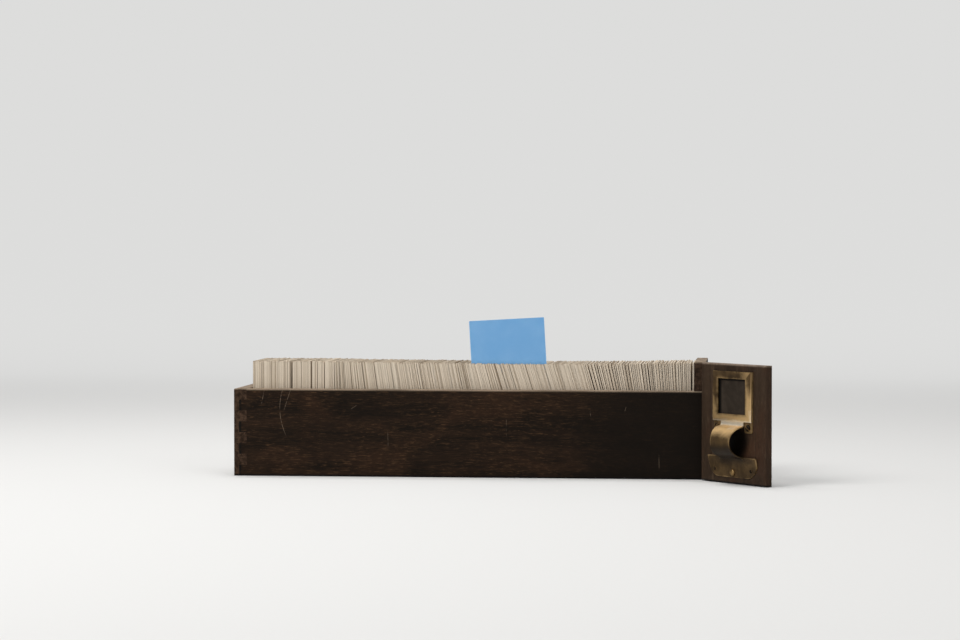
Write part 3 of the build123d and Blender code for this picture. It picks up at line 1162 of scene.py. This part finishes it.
    def plate(self) -> bmesh.types.BMesh:
        """The lower plate with its round lower corners, dished forward at its upper edge."""
        mesh = blank(self.plate_width, self.plate_height)
        round_off(mesh, [v for v in mesh.verts if v.co.y < 0], self.plate_corner, 14)
        cuts = [((0, y * self.plate_height / 10, 0), (0, 1, 0)) for y in range(-4, 5)]
        cuts += [((x * self.plate_width / 24, 0, 0), (1, 0, 0)) for x in range(-11, 12)]
        slice_through(mesh, cuts)
        low = -self.plate_height / 2 + self.plate_flat
        half = self.plate_belly_half * self.plate_width
        for vert in mesh.verts:
            share = max(0.0, (vert.co.y - low) / (self.plate_height - self.plate_flat))
            belly = max(0.0, 1 - (vert.co.x / half) ** 2)
            vert.co.z = self.plate_stand * share**1.5 + self.plate_belly * belly * share
        thicken(mesh, self.sheet)
        middle = (self.centre, self.plate_top - self.plate_height / 2, self.sheet + self.lift)
        bmesh.ops.translate(mesh, vec=middle, verts=mesh.verts[:])
        return mesh

    def rub(self, vert: bmesh.types.BMVert) -> float:
        """How bright a place has been rubbed by fingers, with painted highlights at the fold and on
        the upper curve of the loop.

        Args:
            vert: A point of the piece, in the panel's frame.

        Returns:
            Its wear and painted highlight, 1 and over where it is bright.
        """
        wear = self.wear
        across = abs(vert.co.x - self.centre) / (self.width / 2)
        above = vert.co.y - self.foot
        fold = band = brow_highlight = 0.0
        # Rubbed wear and painted highlight along the fold.
        if vert.co.z > wear.raised_from:
            fold = max(0.0, 1 - max(above / wear.above_fold, -above / wear.below_fold))
        if vert.co.z > wear.band_from:
            near = max(0.0, 1 - abs(above - wear.band_rise) / wear.band_spread)
            band = near * wear.band * (1 - across**4)
        # Painted highlight on the upper curve of the loop.
        if vert.co.z > self.stand and vert.co.y < self.foot:
            rise = (vert.co.y - self.loop_middle) / self.reach
            brow_highlight = max(0.0, 1 - abs(rise - wear.brow_rise) / wear.brow_spread) * wear.brow_highlight
        return max(fold * wear.fold, band, brow_highlight)

    def darkening(self, vert: bmesh.types.BMVert) -> float:
        """How much painted shade darkens a place: the loop's lower half and the plate's middle just
        beneath the loop.

        Args:
            vert: A point of the piece, in the panel's frame.

        Returns:
            Its painted shade from 0 to 1.
        """
        # Painted shade on the loop's lower half and on the plate's middle just beneath it.
        wear = self.wear
        if vert.co.y > self.loop_middle:
            return 0.0
        if vert.co.z > self.stand + wear.plate_stand:
            return min(1.0, (self.loop_middle - vert.co.y) / wear.loop_shade_reach)
        beside = abs(vert.co.x - self.centre) / (self.loop_widths[2] / 2)
        below = max(0.0, 1 - (self.plate_top - vert.co.y) / wear.plate_shade_reach)
        most, fall = wear.shade_sides
        return below * max(0.0, min(1.0, most - fall * beside))

    def sheet_piece(self, brass: bpy.types.Material) -> None:
        """Builds and dresses the sheet, with its wear, painted highlights and painted shade."""
        piece = Piece("stamped_label_holder_pull")
        for shape in (self.holder(), self.loop(), self.plate(), *map(self.tab, self.tab_spots)):
            piece.take(shape)
        piece.rub_edges(30, 0.38)
        painted_shade = piece.mesh.verts.layers.float.new("painted_shade")
        wear = piece.mesh.verts.layers.float["wear"]
        for vert in piece.mesh.verts:
            vert[wear] = max(vert[wear], self.rub(vert))
            vert[painted_shade] = self.darkening(vert)
        stands_for = ("label_holder_pull",)
        piece.place("front", brass, "aged_brass", self.panel.matrix, stands_for, soften=0.16)

    def build(self, brass: bpy.types.Material, screws: bpy.types.Material) -> None:
        """Builds and dresses the holder, the pull and what fixes them.

        Args:
            brass: The finish of the sheet.
            screws: The finish of the screws and nails.
        """
        self.sheet_piece(brass)
        matrix = self.panel.matrix
        seat = self.sheet + self.head_lift
        plate_foot = self.plate_top - self.plate_height
        screw_spots = [*self.tab_spots, (self.centre, plate_foot + self.plate_screw_rise)]
        heads = Piece("round_head_screws")
        for spot, turn in zip(screw_spots, self.screw_turns):
            at = Matrix.Translation((*spot, seat))
            heads.take(self.screw.shape(), at @ Matrix.Rotation(radians(turn), 4, "Z"))
        heads.rub_edges(30, 0.7)
        wear = heads.mesh.verts.layers.float["wear"]
        # Painted highlight: the plate's screw head is set bright all over.
        for vert in heads.mesh.verts:
            if vert.co.y < self.plate_top:
                vert[wear] = self.foot_screw_highlight
        heads.place("front", screws, "aged_brass", matrix, ("pull_screws",), soften=0.1)
        nails = Piece("plate_nails")
        for side in (-1, 1):
            off = side * (self.plate_width / 2 - self.plate_nail_inset)
            spot = (self.centre + off, plate_foot + self.plate_nail_rise, seat)
            nails.take(self.nail.shape(), Matrix.Translation(spot))
        nails.rub_edges(25, 0.9)
        nails.place("front", screws, "aged_brass", matrix, ("pull_nails",))


# ---------------------------------------------------------------- hinges


@dataclass
class HingeScrews:
    """The slotted countersunk screws of the two butt hinges."""

    panel: PanelFrame
    heights: tuple[float, float] = (24.0, 92.0)
    hinge_height: float = 30.0
    inset: float = 9.0
    screw: Fastener = Fastener(2.3, 0.0, 1.1, 6.5, slot=0.6, sides=24, countersunk=True)
    first_turn: float = 20.0
    next_turn: float = 47.0

    def spots(self) -> list[tuple[float, float]]:
        """Distance from the board's edge and height of each screw."""
        return [
            (self.inset, height + step)
            for height in self.heights
            for step in (-self.hinge_height / 3, self.hinge_height / 3)
        ]

    def build(self, steel: bpy.types.Material) -> None:
        """Builds and dresses the screws of both leaves.

        Args:
            steel: Their finish.
        """
        panel = self.panel
        edge = Vector((panel.half_length, -panel.half_width, 0))
        back = panel.origin - panel.outward * panel.thickness
        leaves = (
            ("box", "box", edge, Vector((0, 1, 0)), Vector((1, 0, 0))),
            ("panel", "front", back, panel.along, panel.outward * -1),
        )
        for name, body, corner, across, out in leaves:
            screws = Piece(f"countersunk_screws_{name}")
            turn = from_axes((across, out.cross(across), out))
            for number, (reach, rise) in enumerate(self.spots()):
                spot = corner + across * reach + Vector((0, 0, rise))
                angle = radians(self.next_turn * number + self.first_turn)
                spin = Matrix.Rotation(angle, 4, "Z")
                screws.take(self.screw.shape(), Matrix.Translation(spot) @ turn @ spin)
            screws.place(body, steel, "dark_steel", stands_for=(f"hinge_screws_{name}",))


# ---------------------------------------------------------------- the row of cards


@dataclass
class Pack:
    """A few cards that stand together: foot, thickness, length and lean."""

    foot: float
    thickness: float
    length: float
    lean: float


@dataclass
class CardRow:
    """The row of upright and leaning cards, made card by card from the model's packs."""

    card_width: float = 74.0
    card_height: float = 105.0
    bottom: float = 8.0
    box_length: float = 464.0
    back_face: float = -219.5
    end_face: float = 221.0
    pack_thickness: float = 1.55
    pack_pattern: tuple[float, ...] = (1.0, 0.62, 1.38, 0.8, 1.12, 0.7, 1.3)
    pack_gap: float = 0.06
    back_space: float = 4.4
    lean_stations: tuple[tuple[float, float], ...] = (
        (-0.3, 0.0), (-0.24, 7.0), (-0.02, 12.0), (0.06, 17.0), (0.24, 16.0), (0.46, 1.0)
    )
    row_sag: float = 1.6
    ragged: float = 0.3
    sections: int = 10
    packs_between_gaps: int = 24
    wide_gap: float = 0.5
    seat_gap: float = 0.3
    single: float = 0.46
    share_spread: tuple[float, float] = (0.75, 1.25)
    fills: tuple[float, ...] = (0.97, 0.95, 0.95, 0.92, 0.92, 0.6)
    shortfalls: tuple[float, ...] = (0.0, 0.05, 0.1, 0.15, 0.2, 0.3, 0.8)
    tone_spread: tuple[float, float] = (0.6, 0.28)
    dark_gaps: tuple[float, ...] = (
        -197.2, -177.3, -176.8, -176.3, -156.0, -150.6, -143.2, -125.1, -119.0, -108.3,
        -93.0, -62.0, -31.0,
    )
    slit: tuple[float, float] = (-34.9, -33.9)
    slit_reach: tuple[float, float] = (-0.5, 76.9)
    slit_foot: float = 100.7
    slit_margin: float = 6.0
    seed: int = 11

    def lean_at(self, x: float) -> float:
        """The lean in radians of the cards whose tops are at this place."""
        share = x / self.box_length
        for (start, low), (end, high) in zip(self.lean_stations, self.lean_stations[1:]):
            if share <= start:
                return radians(low)
            if share <= end:
                return radians(low + (high - low) * (share - start) / (end - start))
        return radians(self.lean_stations[-1][1])

    def packs(self) -> list[Pack]:
        """Works out the packs from back to front as the model has them, and a closing one."""
        packs: list[Pack] = []
        steepest = sin(radians(max(low for _, low in self.lean_stations)))
        foot = self.back_face + self.back_space
        lean = 0.0
        while True:
            k = len(packs)
            share = self.pack_pattern[k * k % len(self.pack_pattern)]
            thickness = self.pack_thickness * share
            if packs and k % self.packs_between_gaps == 0:
                foot += self.wide_gap
            next_lean = self.lean_at(foot - self.card_height * tan(lean))
            if packs:
                foot += self.card_height * max(0.0, tan(next_lean) - tan(lean))
            lean = next_lean
            if foot + thickness / cos(lean) > self.end_face - self.seat_gap:
                return packs + self.closing_pack(packs[-1])
            drop = self.row_sag * sin(lean) / steepest - self.ragged * sin(k * k)
            length = (self.card_height - drop - thickness * sin(lean)) / cos(lean)
            packs.append(Pack(foot, thickness, length, lean))
            foot += thickness / cos(lean) + self.pack_gap

    def closing_pack(self, last: Pack) -> list[Pack]:
        """The upright cards between the last pack and the end board.

        Args:
            last: The last pack of the model.

        Returns:
            One pack, or none where there is no room.
        """
        start = last.foot + last.thickness / cos(last.lean) + self.pack_gap
        room = self.end_face - self.seat_gap - start
        if room <= self.single:
            return []
        return [Pack(start, room, self.card_height - self.ragged, 0.0)]

    def add_card(
        self, piece: Piece, pack: Pack, start: float, thickness: float, length: float, tone: float
    ) -> None:
        """Adds one card to a piece, in two strips where the blue card's slit passes.

        Args:
            piece: The section of the row.
            pack: The pack that the card is in.
            start: How far into the pack it starts.
            thickness: Its thickness.
            length: Its height along its lean.
            tone: Its tone from 0 to 1.
        """
        layer = piece.mesh.faces.layers.float["tone"]
        lean = Matrix.Rotation(-pack.lean, 4, "Y")
        place = Matrix.Translation((pack.foot, 0.0, self.bottom)) @ lean
        foot = (self.slit_foot - self.bottom) / cos(pack.lean)
        tilt = pack.foot - self.slit_foot * tan(pack.lean)
        half = self.card_width / 2
        start_x, end_x = self.slit_reach
        strips = [(-half, half, 0.0, length)]
        if start_x - self.slit_margin < tilt < end_x + self.slit_margin:
            strips = [
                (-half, half, 0.0, foot),
                (-half, self.slit[0], foot, length),
                (self.slit[1], half, foot, length),
            ]
        for near, far, low, high in strips:
            size = Matrix.Diagonal((thickness, far - near, high - low, 1.0))
            middle = Matrix.Translation(
                (start + thickness / 2, (near + far) / 2, (low + high) / 2)
            )
            cube = bmesh.ops.create_cube(piece.mesh, size=1.0, matrix=place @ middle @ size)
            for face in {face for vert in cube["verts"] for face in vert.link_faces}:
                face[layer] = tone

    def build(self, material: bpy.types.Material) -> None:
        """Builds and dresses every section of the row.

        Args:
            material: The finish of the cards.
        """
        chance = random.Random(self.seed)
        packs = self.packs()
        size = ceil((len(packs) - 1) / self.sections)
        for number, first in enumerate(range(0, size * self.sections, size), 1):
            piece = Piece(f"single_cards_{number:02d}")
            piece.mesh.faces.layers.float.new("tone")
            last = first + size if number < self.sections else len(packs)
            for pack in packs[first:last]:
                count = max(2, round(pack.thickness / self.single))
                shares = [chance.uniform(*self.share_spread) for _ in range(count)]
                unit = pack.thickness / sum(shares)
                start = 0.0
                for share in shares:
                    room = share * unit
                    thin = room * chance.choice(self.fills)
                    low = chance.choice(self.shortfalls)
                    tone = min(1.0, max(0.0, chance.gauss(*self.tone_spread)))
                    near = pack.foot + start
                    if not any(near <= gap < near + room for gap in self.dark_gaps):
                        self.add_card(piece, pack, start, thin, pack.length - low, tone)
                    start += room
            body = "loose_cards" if number == 1 else "box"
            stands_for = (f"index_cards_{number:02d}",)
            piece.place(body, material, "cream_card_stock", stands_for=stands_for)


@dataclass
class BlueCard:
    """The blue card that stands lengthwise in the row."""

    width: float = 74.0
    height: float = 52.0
    thickness: float = 0.4
    turn: float = 3.2
    centre: float = 38.2
    rise: float = 155.0
    near: float = -34.4
    corner: float = 0.8
    pale_edge: float = 0.7

    def build(self, material: bpy.types.Material) -> None:
        """Builds and dresses the card, with softened corners and pale edges.

        Args:
            material: Its finish.
        """
        piece = Piece("half_height_blue_card")
        mesh = blank(self.width, self.height)
        round_off(mesh, mesh.verts[:], self.corner, 3)
        inset(mesh, self.pale_edge)
        wear = mesh.verts.layers.float.new("wear")
        for vert in mesh.verts:
            vert[wear] = 1.0 if vert.is_boundary else 0.0
        raise_face(mesh, self.thickness)
        piece.take(mesh)
        stand = Matrix.Rotation(pi / 2, 4, "X")
        spot = (self.centre, self.near + self.thickness / 2, self.rise - self.height / 2)
        turn = Matrix.Rotation(radians(-self.turn), 4, "Y")
        matrix = Matrix.Translation(spot) @ turn @ stand
        piece.place("blue_card", material, "blue_card_stock", matrix, ("blue_card",))


# ---------------------------------------------------------------- the boards


@dataclass
class Boards:
    """The box's boards and the front, with their stain, grain and wear."""

    panel: PanelFrame
    front_top: float = 114.5
    side_scratches: tuple[Scratch, ...] = (
        Scratch(-201.6, 85.5, 67.0, -0.2, 0.0, 0.34, 0.42),
        Scratch(-183.4, 85.5, 36.0, -0.31, 0.0084, 0.36, 0.42),
        Scratch(-175.4, 85.5, 63.0, -0.33, 0.0, 0.34, 0.4),
        Scratch(-79.0, 45.0, 28.0, 0.03, 0.0, 0.4, 0.22),
        Scratch(-110.0, 70.0, 65.0, -1.6, 0.0, 0.4, 0.35),
        Scratch(38.0, 57.0, 38.0, 0.0, 0.0, 0.4, 0.25),
        Scratch(120.0, 66.0, 60.0, 0.1, 0.0, 0.4, 0.3),
        Scratch(155.0, 70.0, 65.0, -0.3, 0.0, 0.4, 0.3),
        Scratch(187.0, 24.0, 8.0, 0.02, 0.0, 0.5, 0.2),
    )

    def finishes(self) -> dict[str, WoodFinish]:
        """The finish of each board, by the solid's name."""
        return {
            "near_side": WoodFinish(
                "stained_walnut_sides",
                Grain.LENGTHWISE,
                seed=1.0,
                darkens=(40.0, 180.0, 0.85),
                finger_tips=-226.95,
                scratches=self.side_scratches,
            ),
            "far_side": WoodFinish("stained_walnut_far_side", Grain.LENGTHWISE, seed=21.0),
            "back_board": WoodFinish(
                "stained_walnut_back", Grain.ACROSS, seed=31.0, worn_depth=1.6
            ),
            "inner_front_board": WoodFinish(
                "stained_walnut_end", Grain.ACROSS, seed=41.0, worn_height=self.front_top
            ),
            "front_panel": WoodFinish(
                "front_wood",
                Grain.UPRIGHT,
                dark=tint(40, 29, 20),
                body=tint(60, 46, 34),
                light=tint(88, 72, 57),
                russet=tint(68, 44, 30),
                end_grain=tint(74, 60, 49),
                worn=tint(136, 119, 103),
                seed=51.0,
                turn=-self.panel.open_angle,
                pivot=tuple(self.panel.origin),
                worn_height=self.front_top,
                worn_depth=2.2,
                worn_share=0.85,
                ghost=(14.8, -0.9, 18.9, 0.75, 21.6, -0.8, 83.0, -0.6),
                # Painted shadow behind the pull.
                pull_shadow=(57.0, 41.0, 19.0),
                darkens=(66.0, 97.0, 0.3),
            ),
            "bottom_board": WoodFinish(
                "plain_wood",
                Grain.LENGTHWISE,
                dark=tint(72, 54, 38),
                body=tint(104, 82, 60),
                light=tint(132, 108, 82),
                russet=tint(98, 70, 48),
                end_grain=tint(116, 92, 68),
                seed=61.0,
            ),
        }

    def dress(self) -> None:
        """Gives every board its finish."""
        for node, finish in self.finishes().items():
            keep_solid(node, finish.material())


# ---------------------------------------------------------------- studio


@dataclass(frozen=True)
class Lamp:
    """A square soft lamp that faces the drawer, in metres and watts."""

    name: str
    place: Point
    size: float
    power: float
    aim: Point = (0.0, 0.0, 0.05)

    def hang(self) -> None:
        """Hangs the lamp in the scene."""
        data = bpy.data.lights.new(self.name, "AREA")
        data.shape = "SQUARE"
        data.size = self.size
        data.energy = self.power
        lamp = bpy.data.objects.new(self.name, data)
        lamp.location = self.place
        way = Vector(self.aim) - Vector(self.place)
        lamp.rotation_euler = way.to_track_quat("-Z", "Y").to_euler()
        bpy.context.scene.collection.objects.link(lamp)


@dataclass
class Studio:
    """A pale floor that sweeps up behind the drawer, soft lamps and the camera."""

    floor: Colour = (0.72, 0.71, 0.69)
    backdrop: Colour = (0.9, 0.9, 0.89)
    floor_reach: float = 4.0
    wall_height: float = 4.0
    sweep: float = 2.0
    fade: tuple[float, float] = (0.25, 2.6)
    glow: float = 0.8
    lamps: tuple[Lamp, ...] = (
        Lamp("key_lamp", (-1.3, -1.5, 1.9), 1.3, 36.0),
        Lamp("top_lamp", (-0.3, 0.3, 2.2), 1.2, 26.0),
        Lamp("fill_lamp", (1.6, -1.8, 1.0), 1.6, 9.0),
    )
    sky: float = 0.42
    camera_place: Point = (301.9, -2794.7, 230.8)
    camera_tilt: float = 88.416
    camera_turn: float = 6.023
    lens: float = 106.0

    def lay_floor(self) -> None:
        """Lays the floor and its sweep up behind."""
        mesh = bmesh.new()
        bmesh.ops.create_grid(mesh, x_segments=1, y_segments=1, size=self.floor_reach)
        back = [e for e in mesh.edges if all(v.co.y > self.floor_reach - 0.1 for v in e.verts)]
        pull_out(mesh, back, (0, 0, self.wall_height))
        fold = [e for e in mesh.edges if len(e.link_faces) == 2]
        bmesh.ops.bevel(
            mesh,
            geom=fold,
            offset=self.sweep,
            affect="EDGES",
            segments=24,
            profile=0.5,
            material=-1,
        )
        for face in mesh.faces:
            face.smooth = True
        data = bpy.data.meshes.new("studio_floor")
        mesh.to_mesh(data)
        mesh.free()
        bench = Bench("pale_floor")
        grain = bench.noise(240, EVEN, 3, 0.5, 0.0, 1.0)
        colour = bench.mix(
            bench.step(grain, 0.3, 0.7, 0.3), self.floor, tuple(c * 0.97 for c in self.floor)
        )
        path = bench.tree.nodes.new("ShaderNodeLightPath")
        far = bench.product(path.outputs["Is Camera Ray"], bench.step(bench.y, *self.fade))
        data.materials.append(
            bench.finish(
                Base_Color=bench.mix(far, colour, (0.0, 0.0, 0.0)),
                Roughness=0.9,
                Specular_IOR_Level=0.1,
                Emission_Color=self.backdrop,
                Emission_Strength=bench.product(far, self.glow),
            )
        )
        thing = bpy.data.objects.new("studio_floor", data)
        bpy.context.scene.collection.objects.link(thing)

    def set_sky(self) -> None:
        """Sets the even light all round, with a pale colour behind for the camera."""
        world = bpy.data.worlds.new("studio")
        world.use_nodes = True
        nodes = world.node_tree.nodes
        links = world.node_tree.links
        even = nodes["Background"]
        even.inputs["Color"].default_value = (0.95, 0.97, 1.0, 1.0)
        even.inputs["Strength"].default_value = self.sky
        pale = nodes.new("ShaderNodeBackground")
        pale.inputs["Color"].default_value = (*self.backdrop, 1.0)
        pale.inputs["Strength"].default_value = 1.0
        path = nodes.new("ShaderNodeLightPath")
        blend = nodes.new("ShaderNodeMixShader")
        links.new(path.outputs["Is Camera Ray"], blend.inputs[0])
        links.new(even.outputs[0], blend.inputs[1])
        links.new(pale.outputs[0], blend.inputs[2])
        links.new(blend.outputs[0], nodes["World Output"].inputs["Surface"])
        bpy.context.scene.world = world

    def set_camera(self) -> None:
        """Sets the camera at the photograph's viewpoint."""
        data = bpy.data.cameras.new("camera")
        data.lens = self.lens
        data.sensor_width = 36.0
        data.sensor_fit = "HORIZONTAL"
        data.clip_end = 50.0
        camera = bpy.data.objects.new("camera", data)
        camera.location = [value * MM for value in self.camera_place]
        camera.rotation_euler = (radians(self.camera_tilt), 0.0, radians(self.camera_turn))
        bpy.context.scene.collection.objects.link(camera)
        bpy.context.scene.camera = camera

    def build(self) -> None:
        """Builds the whole studio."""
        self.lay_floor()
        for lamp in self.lamps:
            lamp.hang()
        self.set_sky()
        self.set_camera()
        bpy.context.scene.view_settings.view_transform = "Standard"


def main() -> None:
    """Builds and dresses the drawer, piece by piece, and keeps its sizes."""
    logging.basicConfig(level=logging.INFO, format="%(name)s: %(message)s")
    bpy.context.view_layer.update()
    panel = PanelFrame()
    pivot = tuple(panel.origin)
    brass = BrassFinish(turn=-panel.open_angle, pivot=pivot).material()
    screws = BrassFinish(
        "screw_brass", brown=tint(70, 56, 38), deep=tint(34, 26, 18), gold=tint(150, 122, 80)
    ).material()
    steel = SteelFinish().material()
    Boards(panel).dress()
    LabelHolderPull(panel).build(brass, screws)
    HingeScrews(panel).build(steel)
    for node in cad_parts:
        if "hinge" in node and "screws" not in node or node == "bottom_brads":
            keep_solid(node, steel)
    keep_solid("label_card", LabelFinish(turn=-panel.open_angle, pivot=pivot).material())
    CardRow().build(CardFinish().material())
    BlueCard().build(BlueCardFinish().material())
    Studio().build()


if __name__ == "__main__":
    main()
